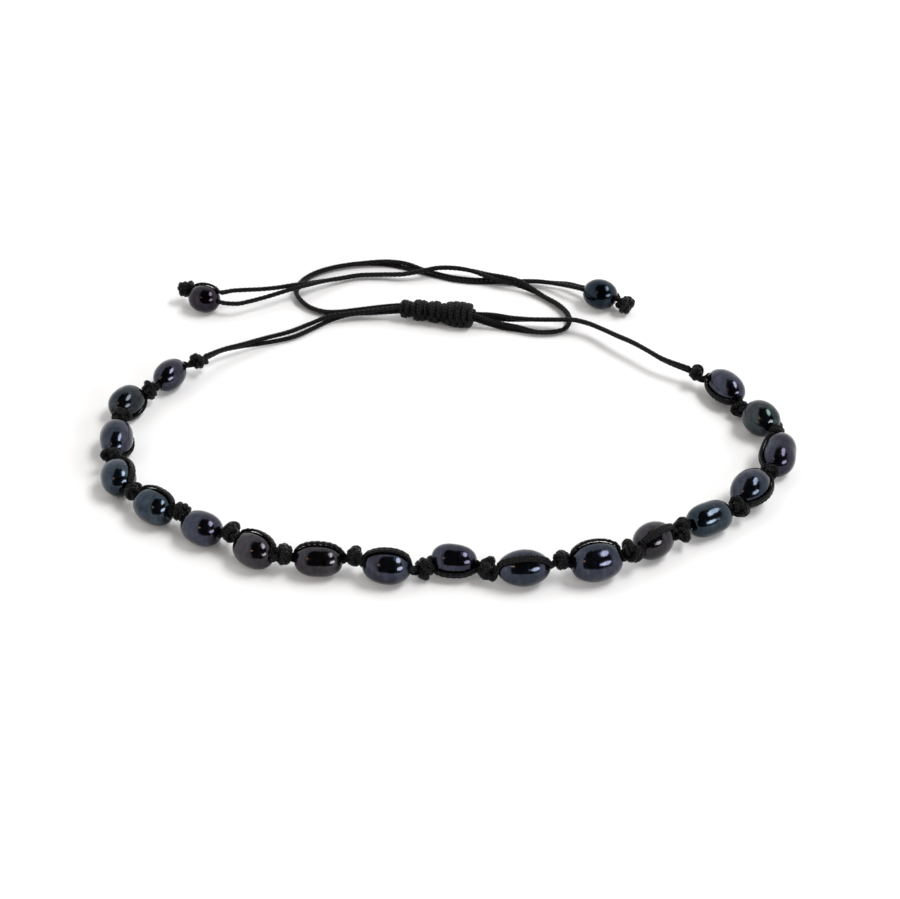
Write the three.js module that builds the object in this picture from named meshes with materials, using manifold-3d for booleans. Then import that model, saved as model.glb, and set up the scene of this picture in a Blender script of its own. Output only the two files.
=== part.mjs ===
// Knotted bracelet of dark freshwater rice pearls on two waxed cords, lying open on a surface.
// Millimetres, +Z up, +X to the right, +Y away from the front. The origin is on the surface, under the
// middle of the bracelet without its free tails.
import * as THREE from 'three';
import { mergeVertices } from 'three/addons/utils/BufferGeometryUtils.js';
import Module from 'manifold-3d';

const wasm = await Module();
wasm.setup();

// Driving dimensions
const CORD_DIAMETER = 0.6;
const HOLE_DIAMETER = 0.9;
const PEARL_CLEARANCE = 0.25;
const END_PEARL_CLEARANCE = 0.4;
const FACE_GAP = 0.3;
const PEARL_SIDES = 12;
const STRING_CORD_SIDES = 5;
const FREE_CORD_SIDES = 8;
const BESIDE_STEPS = 8;
const THROUGH_STEPS = 9;
const BACK_STEPS = 12;
const TAIL_STEPS = 36;

// A cord's straight run inside a pearl's hole stops this far before its end, and leads this far out of it.
const HOLE_INSET = 0.5;
const HOLE_LEAD = 0.3;
const TAIL_LEAD = 1.2;
const TAIL_OVERRUN = 0.1;

// One turn of a knot, as shares of the knot's size: half its thickness, its radius and how far it sits from
// the middle. The two turns lean opposite ways.
const TURN_THICKNESS = 0.3;
const TURN_RADIUS = 0.5;
const TURN_OFFSET = 0.13;
const TURN_LEAN = 32;
const STOPPER_ROLL = 40;

const CORD_COLOUR = 0x15151a;
const CORD_ROUGHNESS = 0.62;
const PEARL_ROUGHNESS = 0.12;
const PEARL_METALNESS = 0.35;

// The middle of the bracelet's own box, in the plan that all the places below are given in.
const MIDDLE = { x: 0.05, y: -0.23 };

// The string of pearls, from the left rear round the front to the right rear. length and diameter are the
// pearl's own. axis is the heading of its drill hole and tilt how far the next end is raised. bearing and
// gap lead from this pearl to the next: the heading between centres and the room left for the knot. beside
// is where the second cord passes it: 0 on the outside of the bracelet, 90 on top, 180 on the inside.
const FIRST_PEARL = { x: -35.5, y: 11.3 };
const PEARLS = [
  { length: 5.3, diameter: 3.8, axis: -116, tilt: 0, bearing: -127, gap: 2.6, beside: -35, tint: 0x4a4552 },
  { length: 5.1, diameter: 4.0, axis: -120, tilt: 0, bearing: -91, gap: 2.3, beside: 215, tint: 0x3c4246 },
  { length: 5.9, diameter: 4.1, axis: -84, tilt: 0, bearing: -80, gap: 2.2, beside: 218, tint: 0x3a4454 },
  { length: 5.3, diameter: 4.2, axis: -70, tilt: 0, bearing: -48, gap: 2.2, beside: 140, tint: 0x33414f },
  { length: 5.2, diameter: 4.1, axis: -37, tilt: 0, bearing: -33, gap: 1.9, beside: 125, tint: 0x33444b },
  { length: 5.2, diameter: 4.0, axis: -31, tilt: 0, bearing: -32, gap: 2.3, beside: 215, tint: 0x454056 },
  { length: 5.2, diameter: 4.0, axis: -36, tilt: 0, bearing: -12, gap: 2.2, beside: 130, tint: 0x3f3d3c },
  { length: 5.5, diameter: 3.7, axis: -3, tilt: 0, bearing: -9, gap: 2.3, beside: 118, tint: 0x443c44 },
  { length: 5.5, diameter: 4.0, axis: -7, tilt: 0, bearing: 10, gap: 2.3, beside: 100, tint: 0x3d3c50 },
  { length: 5.2, diameter: 3.7, axis: -9, tilt: 0, bearing: -12, gap: 2.3, beside: -20, tint: 0x45404c },
  { length: 6.1, diameter: 4.2, axis: 4, tilt: 0, bearing: 6, gap: 2.2, beside: 68, tint: 0x37424e },
  { length: 6.0, diameter: 4.5, axis: 13, tilt: 0, bearing: 30, gap: 2.2, beside: 127, tint: 0x39424c },
  { length: 5.2, diameter: 4.3, axis: 38, tilt: 0, bearing: 31, gap: 2.5, beside: 65, tint: 0x46404a },
  { length: 5.6, diameter: 4.0, axis: 29, tilt: 0, bearing: 44, gap: 1.9, beside: 220, tint: 0x32454d },
  { length: 5.9, diameter: 4.5, axis: 51, tilt: 7, bearing: 57, gap: 2.0, beside: 5, tint: 0x3e414f },
  { length: 6.0, diameter: 4.2, axis: 74, tilt: 12, bearing: 99, gap: 1.9, beside: 165, tint: 0x433c54 },
  { length: 5.1, diameter: 4.4, axis: 124, tilt: 0, bearing: 116, gap: 2.4, beside: -25, tint: 0x36443e },
  { length: 6.1, diameter: 4.0, axis: 118, tilt: 0, bearing: 0, gap: 0, beside: 190, tint: 0x413f54 },
];

// The knots between the pearls, in the same order: the height of each, how far it sits out of the line
// between its two pearls, towards the outside of the bracelet, and its thickness.
const KNOTS = [
  { height: 1.8, outward: -0.2, size: 2.0 },
  { height: 2.3, outward: -0.7, size: 2.0 },
  { height: 2.6, outward: 0.3, size: 2.0 },
  { height: 2.3, outward: -0.4, size: 2.0 },
  { height: 2.5, outward: -0.7, size: 2.1 },
  { height: 2.6, outward: -0.6, size: 2.2 },
  { height: 2.3, outward: -0.5, size: 2.3 },
  { height: 2.5, outward: -0.6, size: 2.1 },
  { height: 1.3, outward: 0.4, size: 2.2 },
  { height: 1.6, outward: 0.0, size: 2.2 },
  { height: 2.6, outward: -0.6, size: 2.1 },
  { height: 2.6, outward: 0.2, size: 2.3 },
  { height: 2.1, outward: 0.4, size: 2.3 },
  { height: 2.2, outward: 0.6, size: 2.2 },
  { height: 2.2, outward: -0.1, size: 2.0 },
  { height: 2.2, outward: -0.3, size: 2.0 },
  { height: 1.3, outward: -0.3, size: 2.0 },
];
const FIRST_KNOT = { x: -32.2, y: 14.2, height: 2.0, size: 1.8 };
const LAST_KNOT = { x: 32.2, y: 11.2, height: 2.2, size: 1.9 };

// The sliding knot: the middles of its two end faces, and the radius of each turn from left to right.
const SLIDING_KNOT = { left: { x: -6.4, y: 27.6 }, right: { x: 4.1, y: 25.5 }, height: 1.58 };
const SLIDING_TURNS = [
  { start: 0, end: 0.17, radius: 1.2 },
  { start: 0.17, end: 0.37, radius: 1.42 },
  { start: 0.37, end: 0.57, radius: 1.45 },
  { start: 0.57, end: 1, radius: 1.7 },
];
const SLIDING_WAIST = 0.85;
const SLIDING_FLATNESS = 0.95;
const SLIDING_SHOULDER = 0.3;

// Each back cord pair and tail pair is one route. x, y and z are points of the first cord of the pair. side
// and lift place the second cord from the first: to the left of the way it runs, and up.
const LEFT_BACK = [
  [-31.5, 15.1, 2.1, 0.3, -0.69], [-29.3, 17.2, 1.8, 0.54, -0.52], [-27.0, 18.8, 1.5, 0.45, -0.6],
  [-24.3, 20.7, 1.2, -0.15, -0.8], [-21.0, 22.8, 0.9, -1.0, -0.5], [-18.4, 24.8, 0.85, -0.8, -0.5],
  [-15.8, 26.2, 1.15, 0, -0.82], [-12.7, 26.9, 1.2, 0.55, -0.51], [-9.8, 27.15, 1.5, 0.3, -0.69],
  [-6.7, 27.2, 1.9, 0, -0.75],
];
const RIGHT_BACK = [
  [31.4, 11.9, 2.4, -0.3, -0.7], [28.0, 13.9, 2.6, -0.5, -0.57], [26.1, 15.8, 2.7, -0.55, -0.52],
  [24.3, 17.7, 2.7, -0.55, -0.52], [22.4, 19.6, 2.5, -0.55, -0.52], [20.6, 21.6, 2.2, -0.6, -0.47],
  [18.9, 23.0, 2.1, -0.65, -0.4], [17.0, 23.7, 2.2, -0.65, -0.38], [14.8, 24.45, 1.75, -0.65, -0.4],
  [11.9, 24.95, 1.45, -0.65, -0.4], [8.8, 25.4, 1.45, -0.4, -0.65], [6.3, 25.8, 1.65, 0, -0.75],
  [4.4, 25.9, 1.7, 0, -0.75],
];
const LEFT_TAIL = [
  [4.4, 25.1, 1.15, 0, 0.75], [5.8, 24.9, 0.75, 0, 0.75], [7.4, 24.6, 0.4, 0, 0.75],
  [9.7, 24.1, 0.3, -0.2, 0.73], [12.1, 23.6, 0.3, -0.6, 0.48], [14.2, 23.6, 0.3, -0.6, 0.46],
  [15.6, 24.1, 0.3, -0.55, 0.51], [16.4, 25.3, 0.3, -0.35, 0.67], [16.6, 27.0, 0.3, 0, 0.75],
  [16.3, 28.7, 0.3, 0.36, 0.66], [15.3, 30.5, 0.3, 0.48, 0.58], [13.8, 32.2, 0.3, 0.53, 0.53],
  [12.1, 33.6, 0.5, 0.35, 0.7], [10.0, 34.5, 0.9, -0.25, 0.78], [7.9, 35.1, 1.2, -0.72, 0.42],
  [5.7, 36.2, 1.3, -0.82, -0.05], [3.5, 37.5, 1.45, -0.68, -0.42], [1.1, 38.2, 1.5, -0.6, -0.45],
  [-1.3, 38.2, 1.5, -0.6, -0.45], [-3.6, 37.5, 1.4, -0.6, -0.45], [-6.2, 37.2, 1.1, -0.6, -0.45],
  [-9.1, 37.5, 0.85, -0.6, -0.45], [-12.2, 37.4, 0.8, -0.6, -0.45], [-14.9, 36.4, 0.9, -0.6, -0.45],
  [-17.3, 34.8, 1.35, -0.68, -0.32], [-19.3, 33.1, 1.8, -0.75, -0.05], [-21.1, 31.9, 2.0, -0.8, 0.2],
  [-23.0, 30.9, 1.9, -1.0, 0.5], [-25.0, 29.9, 1.8, -1.7, 0.7], [-26.8, 28.9, 1.85, -2.5, 0.8],
  [-28.3, 28.3, 1.85, -3.0, 0.8],
];
const RIGHT_TAIL = [
  [-6.7, 28.0, 1.15, 0, 0.75], [-8.3, 28.15, 0.9, 0, 0.75], [-10.2, 28.3, 0.6, 0.1, 0.75],
  [-12.4, 28.35, 0.4, 0.3, 0.69], [-14.4, 28.4, 0.3, 0.5, 0.56], [-16.5, 28.6, 0.3, 0.59, 0.46],
  [-18.5, 29.6, 0.3, 0.54, 0.52], [-19.9, 31.3, 0.3, 0.43, 0.62], [-20.8, 33.3, 0.3, 0.17, 0.73],
  [-20.6, 35.3, 0.3, -0.23, 0.71], [-19.8, 37.2, 0.3, -0.44, 0.6], [-18.2, 38.9, 0.3, -0.54, 0.52],
  [-16.0, 40.2, 0.3, -0.58, 0.48], [-13.6, 41.0, 0.3, -0.59, 0.46], [-11.0, 41.3, 0.3, -0.5, 0.56],
  [-8.3, 41.0, 0.3, -0.1, 0.74], [-5.9, 40.2, 0.3, 0.5, 0.56], [-3.6, 39.0, 0.3, 0.75, 0.1],
  [-1.3, 37.9, 0.3, 0.75, 0], [1.1, 36.9, 0.3, 0.75, 0], [3.4, 36.4, 0.3, 0.75, 0],
  [5.8, 36.2, 0.35, 0.75, 0], [8.1, 36.1, 0.5, 0.73, -0.15], [10.3, 35.9, 0.72, 0.62, -0.42],
  [12.5, 35.6, 0.9, 0.62, -0.42], [14.5, 34.7, 1.2, 0.9, -0.5], [16.2, 33.5, 1.6, 1.6, -0.6],
];

// The pearl and the stopper knot on each tail. axis is the heading of the drill hole, from the side where
// the tail comes in; beside is as above, seen the same way.
const LEFT_END = {
  pearl: { x: -33.1, y: 29.5, length: 4.4, diameter: 3.7, axis: 160, tilt: 0, beside: 50, tint: 0x4a4046 },
  knot: { x: -35.7, y: 31.5, height: 2.2, size: 1.7 },
};
const RIGHT_END = {
  pearl: { x: 21.1, y: 30.4, length: 4.8, diameter: 4.1, axis: -28, tilt: 0, beside: 200, tint: 0x2f4048 },
  knot: { x: 24.4, y: 28.6, height: 1.5, size: 1.9 },
};

const CORD_RADIUS = CORD_DIAMETER / 2;
const UP = new THREE.Vector3(0, 0, 1);
const AROUND_PEARL = [35, 62, 90, 118, 145];
const RIM_ANGLE = 18;
const PROFILE_STEPS = 5;

function radians(degrees) {
  return THREE.MathUtils.degToRad(degrees);
}

function vector(x, y, z) {
  return new THREE.Vector3(x, y, z);
}

function heading(degrees) {
  return vector(Math.cos(radians(degrees)), Math.sin(radians(degrees)), 0);
}

function rightOf(direction) {
  return vector(direction.y, -direction.x, 0).normalize();
}

// A geometry with only its positions, each corner held once.
function welded(geometry) {
  const bare = geometry.clone();
  bare.deleteAttribute('normal');
  bare.deleteAttribute('uv');
  return mergeVertices(bare);
}

function toSolid(geometry) {
  const bare = welded(geometry);
  const vertProperties = new Float32Array(bare.attributes.position.array);
  const triVerts = new Uint32Array(bare.index.array);
  return new wasm.Manifold(new wasm.Mesh({ numProp: 3, vertProperties, triVerts }));
}

function toGeometry(solid) {
  const mesh = solid.getMesh();
  const geometry = new THREE.BufferGeometry();
  geometry.setAttribute('position', new THREE.BufferAttribute(mesh.vertProperties, 3));
  geometry.setIndex(new THREE.BufferAttribute(mesh.triVerts, 1));
  return geometry;
}

function joined(geometries) {
  return geometries.map(toSolid).reduce((whole, piece) => whole.add(piece));
}

// A cord of even thickness along a smooth curve through the points.
function cord(points, sides, steps) {
  const section = new THREE.Shape();
  for (let i = 0; i < sides; i += 1) {
    const angle = (2 * Math.PI * (i + 0.5)) / sides;
    const corner = [CORD_RADIUS * Math.cos(angle), CORD_RADIUS * Math.sin(angle)];
    if (i === 0) section.moveTo(...corner);
    else section.lineTo(...corner);
  }
  section.closePath();
  const extrudePath = new THREE.CatmullRomCurve3(points, false, 'centripetal');
  return new THREE.ExtrudeGeometry(section, { steps, extrudePath });
}

// Half the outline of a pearl from end to end, as radius against place along the hole, grown by margin.
function pearlProfile(pearl, margin, firstAngle) {
  const points = [];
  const widest = Math.cos(radians((90 - firstAngle) / PROFILE_STEPS)) * Math.cos(Math.PI / PEARL_SIDES);
  for (let i = 0; i <= PROFILE_STEPS; i += 1) {
    const angle = radians(firstAngle + ((180 - 2 * firstAngle) * i) / PROFILE_STEPS);
    const along = -(pearl.length / 2 + margin) * Math.cos(angle);
    const around = (pearl.diameter / 2 + margin) / widest;
    points.push(new THREE.Vector2(around * Math.sin(angle), along));
  }
  return points;
}

// Turned about +X with one flat side facing straight down, then raised by the pearl's tilt.
function turnedPearl(pearl, profile) {
  const turned = new THREE.LatheGeometry(profile, PEARL_SIDES, Math.PI / PEARL_SIDES);
  turned.rotateZ(-Math.PI / 2);
  turned.rotateY(-radians(pearl.tilt));
  return turned;
}

function drilledPearl(pearl) {
  const outer = pearlProfile(pearl, 0, RIM_ANGLE);
  const hole = HOLE_DIAMETER / 2 / Math.cos(Math.PI / PEARL_SIDES);
  const firstRim = new THREE.Vector2(hole, outer[0].y);
  const lastRim = new THREE.Vector2(hole, outer[outer.length - 1].y);
  return turnedPearl(pearl, [firstRim, ...outer, lastRim, firstRim.clone()]);
}

// The room that a pearl needs, closed over its hole.
function pearlEnvelope(pearl) {
  const profile = pearlProfile(pearl, PEARL_CLEARANCE, 0);
  profile[0].x = 0;
  profile[profile.length - 1].x = 0;
  return turnedPearl(pearl, profile);
}

// Where a pearl lies: its middle, the direction of its hole, and the two directions across the hole.
function lyingPearl(pearl, x, y) {
  const lowest = drilledPearl(pearl);
  lowest.computeBoundingBox();
  const level = heading(pearl.axis);
  const along = level.clone().multiplyScalar(Math.cos(radians(pearl.tilt)));
  along.z = Math.sin(radians(pearl.tilt));
  const outward = rightOf(level);
  const over = outward.clone().cross(along).normalize();
  return { ...pearl, centre: vector(x, y, -lowest.boundingBox.min.z), along, outward, over };
}

function moved(geometry, pearl) {
  geometry.rotateZ(radians(pearl.axis));
  geometry.translate(pearl.centre.x, pearl.centre.y, pearl.centre.z);
  return geometry;
}

function holePoint(pearl, distance) {
  return pearl.centre.clone().addScaledVector(pearl.along, distance);
}

// A cord's middle line where it passes beside a pearl, clear of its surface.
function besidePearl(pearl, clearance) {
  const half = pearl.length / 2;
  const radius = pearl.diameter / 2 / Math.cos(Math.PI / PEARL_SIDES);
  const turn = radians(pearl.beside);
  const side = pearl.outward.clone().multiplyScalar(Math.cos(turn)).addScaledVector(pearl.over, Math.sin(turn));
  return AROUND_PEARL.map((degrees) => {
    const angle = radians(degrees);
    const normal = new THREE.Vector2(-Math.cos(angle) / half, Math.sin(angle) / radius).normalize();
    const stand = CORD_RADIUS + clearance;
    const along = -half * Math.cos(angle) + normal.x * stand;
    const away = radius * Math.sin(angle) + normal.y * stand;
    return holePoint(pearl, along).addScaledVector(side, away);
  });
}

// An overhand knot pulled tight: two flat turns of cord that cross each other.
function knotBody(knot) {
  const turns = [1, -1].map((hand) => {
    const turn = new THREE.SphereGeometry(1, 7, 4);
    turn.rotateX(Math.PI / 2);
    turn.scale(TURN_THICKNESS * knot.size, TURN_RADIUS * knot.size, TURN_RADIUS * knot.size);
    turn.rotateZ(hand * radians(TURN_LEAN));
    turn.translate(hand * TURN_OFFSET * knot.size, 0, 0);
    turn.rotateY(radians(knot.roll));
    turn.rotateZ(Math.atan2(knot.run.y, knot.run.x));
    turn.translate(knot.centre.x, knot.centre.y, knot.centre.z);
    return turn;
  });
  return joined(turns);
}

function layPearls() {
  const pearls = [];
  let place = vector(FIRST_PEARL.x, FIRST_PEARL.y, 0);
  PEARLS.forEach((pearl, i) => {
    pearls.push(lyingPearl(pearl, place.x, place.y));
    const next = PEARLS[i + 1];
    if (!next) return;
    const step = pearl.length / 2 + pearl.gap + next.length / 2;
    place = place.clone().addScaledVector(heading(pearl.bearing), step);
  });
  return pearls;
}

function layKnots(pearls) {
  const knots = KNOTS.map((knot, i) => {
    const before = holePoint(pearls[i], pearls[i].length / 2);
    const after = holePoint(pearls[i + 1], -pearls[i + 1].length / 2);
    const run = after.clone().sub(before);
    const centre = before.clone().lerp(after, 0.5).addScaledVector(rightOf(run), knot.outward);
    centre.z = knot.height;
    return { ...knot, centre, run, roll: 0 };
  });
  return [endKnot(FIRST_KNOT, pearls[0]), ...knots, endKnot(LAST_KNOT, pearls[pearls.length - 1])];
}

function endKnot(knot, pearl) {
  const centre = vector(knot.x, knot.y, knot.height);
  const run = centre.x < pearl.centre.x ? centre.clone().sub(pearl.centre) : pearl.centre.clone().sub(centre);
  return { ...knot, centre, run, roll: 0 };
}

// The cords and knots of the beaded part as one solid. The knots are hollowed where the pearls press on them.
function knottedCord(pearls, knots) {
  const besides = pearls.map((pearl, i) => {
    const route = [knots[i].centre, ...besidePearl(pearl, PEARL_CLEARANCE), knots[i + 1].centre];
    return cord(route, STRING_CORD_SIDES, BESIDE_STEPS);
  });
  const throughs = pearls.map((pearl, i) => {
    const inside = pearl.length / 2 - HOLE_INSET;
    const mouth = pearl.length / 2 + HOLE_LEAD;
    const route = [-mouth, -inside, inside, mouth].map((distance) => holePoint(pearl, distance));
    return cord([knots[i].centre, ...route, knots[i + 1].centre], STRING_CORD_SIDES, THROUGH_STEPS);
  });
  const room = joined(pearls.map((pearl) => moved(pearlEnvelope(pearl), pearl)));
  const bodies = knots.map(knotBody).reduce((whole, body) => whole.add(body));
  return bodies.subtract(room).add(joined([...besides, ...throughs]));
}

// The middle lines of the two cords of a pair.
function pairRoute(rows) {
  const first = rows.map(([x, y, z]) => vector(x, y, z));
  const second = first.map((point, i) => {
    const before = first[Math.max(i - 1, 0)];
    const after = first[Math.min(i + 1, first.length - 1)];
    const left = rightOf(after.clone().sub(before)).negate();
    const [side, lift] = rows[i].slice(3);
    return point.clone().addScaledVector(left, side).addScaledVector(UP, lift);
  });
  return [first, second];
}

// A tail's two cords: the first ends in the pearl's hole, the second beside the pearl at the stopper knot.
function tailRoute(rows, end, pearl) {
  const [first, second] = pairRoute(rows);
  const half = pearl.length / 2;
  const stations = [-half - TAIL_LEAD, -half, 0, half + TAIL_OVERRUN];
  stations.forEach((distance) => first.push(holePoint(pearl, distance)));
  const around = besidePearl(pearl, END_PEARL_CLEARANCE);
  const knot = vector(end.knot.x, end.knot.y, end.knot.height);
  const reach = knot.clone().sub(around[around.length - 1]);
  const stop = 1 - (end.knot.size / 2 + FACE_GAP) / reach.length();
  second.push(...around, around[around.length - 1].clone().addScaledVector(reach, stop));
  return [first, second];
}

function slidingKnot() {
  const left = vector(SLIDING_KNOT.left.x, SLIDING_KNOT.left.y, SLIDING_KNOT.height);
  const right = vector(SLIDING_KNOT.right.x, SLIDING_KNOT.right.y, SLIDING_KNOT.height);
  const run = right.clone().sub(left);
  const length = run.length();
  const profile = [new THREE.Vector2(0, -length / 2)];
  SLIDING_TURNS.forEach((turn) => {
    const start = (turn.start - 0.5) * length;
    const end = (turn.end - 0.5) * length;
    profile.push(new THREE.Vector2(turn.radius * SLIDING_WAIST, start));
    profile.push(new THREE.Vector2(turn.radius, start + (end - start) * SLIDING_SHOULDER));
    profile.push(new THREE.Vector2(turn.radius, end - (end - start) * SLIDING_SHOULDER));
    profile.push(new THREE.Vector2(turn.radius * SLIDING_WAIST, end));
  });
  profile.push(new THREE.Vector2(0, length / 2));
  const body = new THREE.LatheGeometry(profile, PEARL_SIDES, Math.PI / PEARL_SIDES);
  body.rotateZ(-Math.PI / 2);
  body.scale(1, 1, SLIDING_FLATNESS);
  body.rotateZ(Math.atan2(run.y, run.x));
  const middle = left.lerp(right, 0.5);
  body.translate(middle.x, middle.y, middle.z);
  return body;
}

function addPiece(group, name, geometry, colour, roughness, metalness) {
  const material = new THREE.MeshStandardMaterial({ color: colour, roughness, metalness });
  const placed = welded(geometry).translate(-MIDDLE.x, -MIDDLE.y, 0);
  const piece = new THREE.Mesh(placed, material);
  piece.name = name;
  group.add(piece);
}

function addCord(group, name, geometry) {
  addPiece(group, name, geometry, CORD_COLOUR, CORD_ROUGHNESS, 0);
}

function addPearl(group, name, pearl) {
  const geometry = moved(drilledPearl(pearl), pearl);
  addPiece(group, name, geometry, pearl.tint, PEARL_ROUGHNESS, PEARL_METALNESS);
}

function addPair(group, name, routes, steps) {
  routes.forEach((route, i) => addCord(group, `${name}_${i + 1}`, cord(route, FREE_CORD_SIDES, steps)));
}

function addTail(group, side, rows, end) {
  const pearl = lyingPearl(end.pearl, end.pearl.x, end.pearl.y);
  addPair(group, `${side}_tail`, tailRoute(rows, end, pearl), TAIL_STEPS);
  addPearl(group, `${side}_end_pearl`, pearl);
  const centre = vector(end.knot.x, end.knot.y, end.knot.height);
  const run = centre.clone().sub(pearl.centre);
  const stopper = knotBody({ ...end.knot, centre, run, roll: STOPPER_ROLL });
  addCord(group, `${side}_end_knot`, toGeometry(stopper));
}

function bracelet() {
  const group = new THREE.Group();
  const pearls = layPearls();
  const knots = layKnots(pearls);
  pearls.forEach((pearl, i) => addPearl(group, `pearl_${String(i + 1).padStart(2, '0')}`, pearl));
  addCord(group, 'knotted_cord', toGeometry(knottedCord(pearls, knots)));
  addPair(group, 'left_cord', pairRoute(LEFT_BACK), BACK_STEPS);
  addPair(group, 'right_cord', pairRoute(RIGHT_BACK), BACK_STEPS);
  addCord(group, 'sliding_knot', slidingKnot());
  addTail(group, 'left', LEFT_TAIL, LEFT_END);
  addTail(group, 'right', RIGHT_TAIL, RIGHT_END);
  return group;
}

export default bracelet();
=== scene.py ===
"""Looks of a knotted bracelet of dark rice pearls on two waxed cords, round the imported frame."""
import functools
import math

import bmesh
import bpy
import numpy as np
from mathutils import Matrix, Vector, noise


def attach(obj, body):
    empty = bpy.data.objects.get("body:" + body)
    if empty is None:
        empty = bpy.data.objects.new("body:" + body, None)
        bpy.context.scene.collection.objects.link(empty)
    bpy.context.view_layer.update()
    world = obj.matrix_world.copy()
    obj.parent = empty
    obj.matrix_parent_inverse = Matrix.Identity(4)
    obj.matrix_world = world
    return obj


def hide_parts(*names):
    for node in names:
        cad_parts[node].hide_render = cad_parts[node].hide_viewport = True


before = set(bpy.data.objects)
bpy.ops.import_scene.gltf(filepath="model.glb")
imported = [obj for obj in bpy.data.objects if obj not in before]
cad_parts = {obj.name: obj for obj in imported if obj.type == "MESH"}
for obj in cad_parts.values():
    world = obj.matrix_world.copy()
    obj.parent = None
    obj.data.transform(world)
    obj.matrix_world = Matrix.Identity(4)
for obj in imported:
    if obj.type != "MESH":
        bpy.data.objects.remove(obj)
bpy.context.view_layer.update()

bl_info = {
    "name": "Knotted pearl bracelet",
    "version": (1, 0, 0),
    "blender": (4, 5, 0),
    "location": "3D View > Sidebar > Bracelet",
    "description": "Makes a bracelet of rice pearls knotted on waxed cord",
    "category": "Add Mesh",
}

MM = 0.001
BODY = "root"

# The middle of the bracelet's own box, in the plan that all the places below are given in, in mm.
MIDDLE = (0.05, -0.23)

# The string of pearls, from the left rear round the front to the right rear, in mm and degrees.
# Columns: length, diameter, heading and tilt of the drill hole, heading and room to the next pearl,
# side on which the second cord passes, fullness of the ends, taper, depth of a waist, hue of the nacre.
FIRST_PEARL = (-35.5, 11.3)
PEARLS = (
    (5.3, 3.8, -116, 0, -127, 2.6, -35, 2.0, 0.06, 0.00, "purple"),
    (5.1, 4.0, -120, 0, -91, 2.3, 215, 2.2, 0.03, 0.00, "charcoal"),
    (5.9, 4.1, -84, 0, -80, 2.2, 218, 2.1, -0.05, 0.00, "blue"),
    (5.3, 4.2, -70, 0, -48, 2.2, 140, 2.1, 0.04, 0.00, "teal"),
    (5.2, 4.1, -37, 0, -33, 1.9, 125, 2.4, 0.03, 0.01, "teal"),
    (5.2, 4.0, -31, 0, -32, 2.3, 215, 2.2, 0.04, 0.00, "purple"),
    (5.2, 4.0, -36, 0, -12, 2.2, 130, 2.25, 0.02, 0.00, "brown"),
    (5.5, 3.7, -3, 0, -9, 2.3, 118, 2.35, 0.00, 0.01, "brown"),
    (5.5, 4.0, -7, 0, 10, 2.3, 100, 2.2, 0.05, 0.00, "purple"),
    (5.2, 3.7, -9, 0, -12, 2.3, -20, 2.35, -0.05, 0.01, "purple"),
    (6.1, 4.2, 4, 0, 6, 2.2, 68, 1.95, 0.03, 0.00, "blue"),
    (6.0, 4.5, 13, 0, 30, 2.2, 127, 2.2, -0.02, 0.00, "blue"),
    (5.2, 4.3, 38, 0, 31, 2.5, 65, 2.0, -0.05, 0.00, "brown"),
    (5.6, 4.0, 29, 0, 44, 1.9, 220, 2.55, 0.02, 0.01, "teal"),
    (5.9, 4.5, 51, 7, 57, 2.0, 5, 1.9, -0.03, 0.00, "blue"),
    (6.0, 4.2, 74, 12, 99, 1.9, 165, 2.25, -0.04, 0.04, "purple"),
    (5.1, 4.4, 124, 0, 116, 2.4, -25, 2.1, 0.02, 0.00, "green"),
    (6.1, 4.0, 118, 0, 0, 0, 190, 2.1, -0.06, 0.00, "purple"),
)

# The knots between them: height, how far out of the line of the two pearls towards the outside of the
# bracelet, and length of the knot, in mm.
KNOTS = (
    (1.8, -0.2, 2.0), (2.3, -0.7, 2.0), (2.6, 0.3, 2.0), (2.3, -0.4, 2.0), (2.5, -0.7, 2.1),
    (2.6, -0.6, 2.2), (2.3, -0.5, 2.3), (2.5, -0.6, 2.1), (1.3, 0.4, 2.2), (1.6, 0.0, 2.2),
    (2.6, -0.6, 2.1), (2.6, 0.2, 2.3), (2.1, 0.4, 2.3), (2.2, 0.6, 2.2), (2.2, -0.1, 2.0),
    (2.2, -0.3, 2.0), (1.3, -0.3, 2.0),
)
FIRST_KNOT = (-32.2, 14.2, 2.0, 1.9)
LAST_KNOT = (32.2, 11.2, 2.2, 1.9)

# Routes of the free cords: x, y and z of the first cord of a pair in mm, then how far the second lies to
# the left of the way it runs and how far above.
LEFT_BACK = (
    (-31.5, 15.1, 2.1, 0.3, -0.69), (-29.3, 17.2, 1.8, 0.54, -0.52), (-27.0, 18.8, 1.5, 0.45, -0.6),
    (-24.3, 20.7, 1.2, -0.15, -0.8), (-21.0, 22.8, 0.9, -1.0, -0.5), (-18.4, 24.8, 0.85, -0.8, -0.5),
    (-15.8, 26.2, 1.15, 0, -0.82), (-12.7, 26.9, 1.2, 0.55, -0.51), (-9.8, 27.15, 1.5, 0.3, -0.69),
    (-6.7, 27.2, 1.9, 0, -0.75),
)
RIGHT_BACK = (
    (31.4, 11.9, 2.4, -0.3, -0.7), (28.0, 13.9, 2.6, -0.5, -0.57), (26.1, 15.8, 2.7, -0.55, -0.52),
    (24.3, 17.7, 2.7, -0.55, -0.52), (22.4, 19.6, 2.5, -0.55, -0.52), (20.6, 21.6, 2.2, -0.6, -0.47),
    (18.9, 23.0, 2.1, -0.65, -0.4), (17.0, 23.7, 2.2, -0.65, -0.38), (14.8, 24.45, 1.75, -0.65, -0.4),
    (11.9, 24.95, 1.45, -0.65, -0.4), (8.8, 25.4, 1.45, -0.4, -0.65), (6.3, 25.8, 1.65, 0, -0.75),
    (4.4, 25.9, 1.7, 0, -0.75),
)
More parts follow.
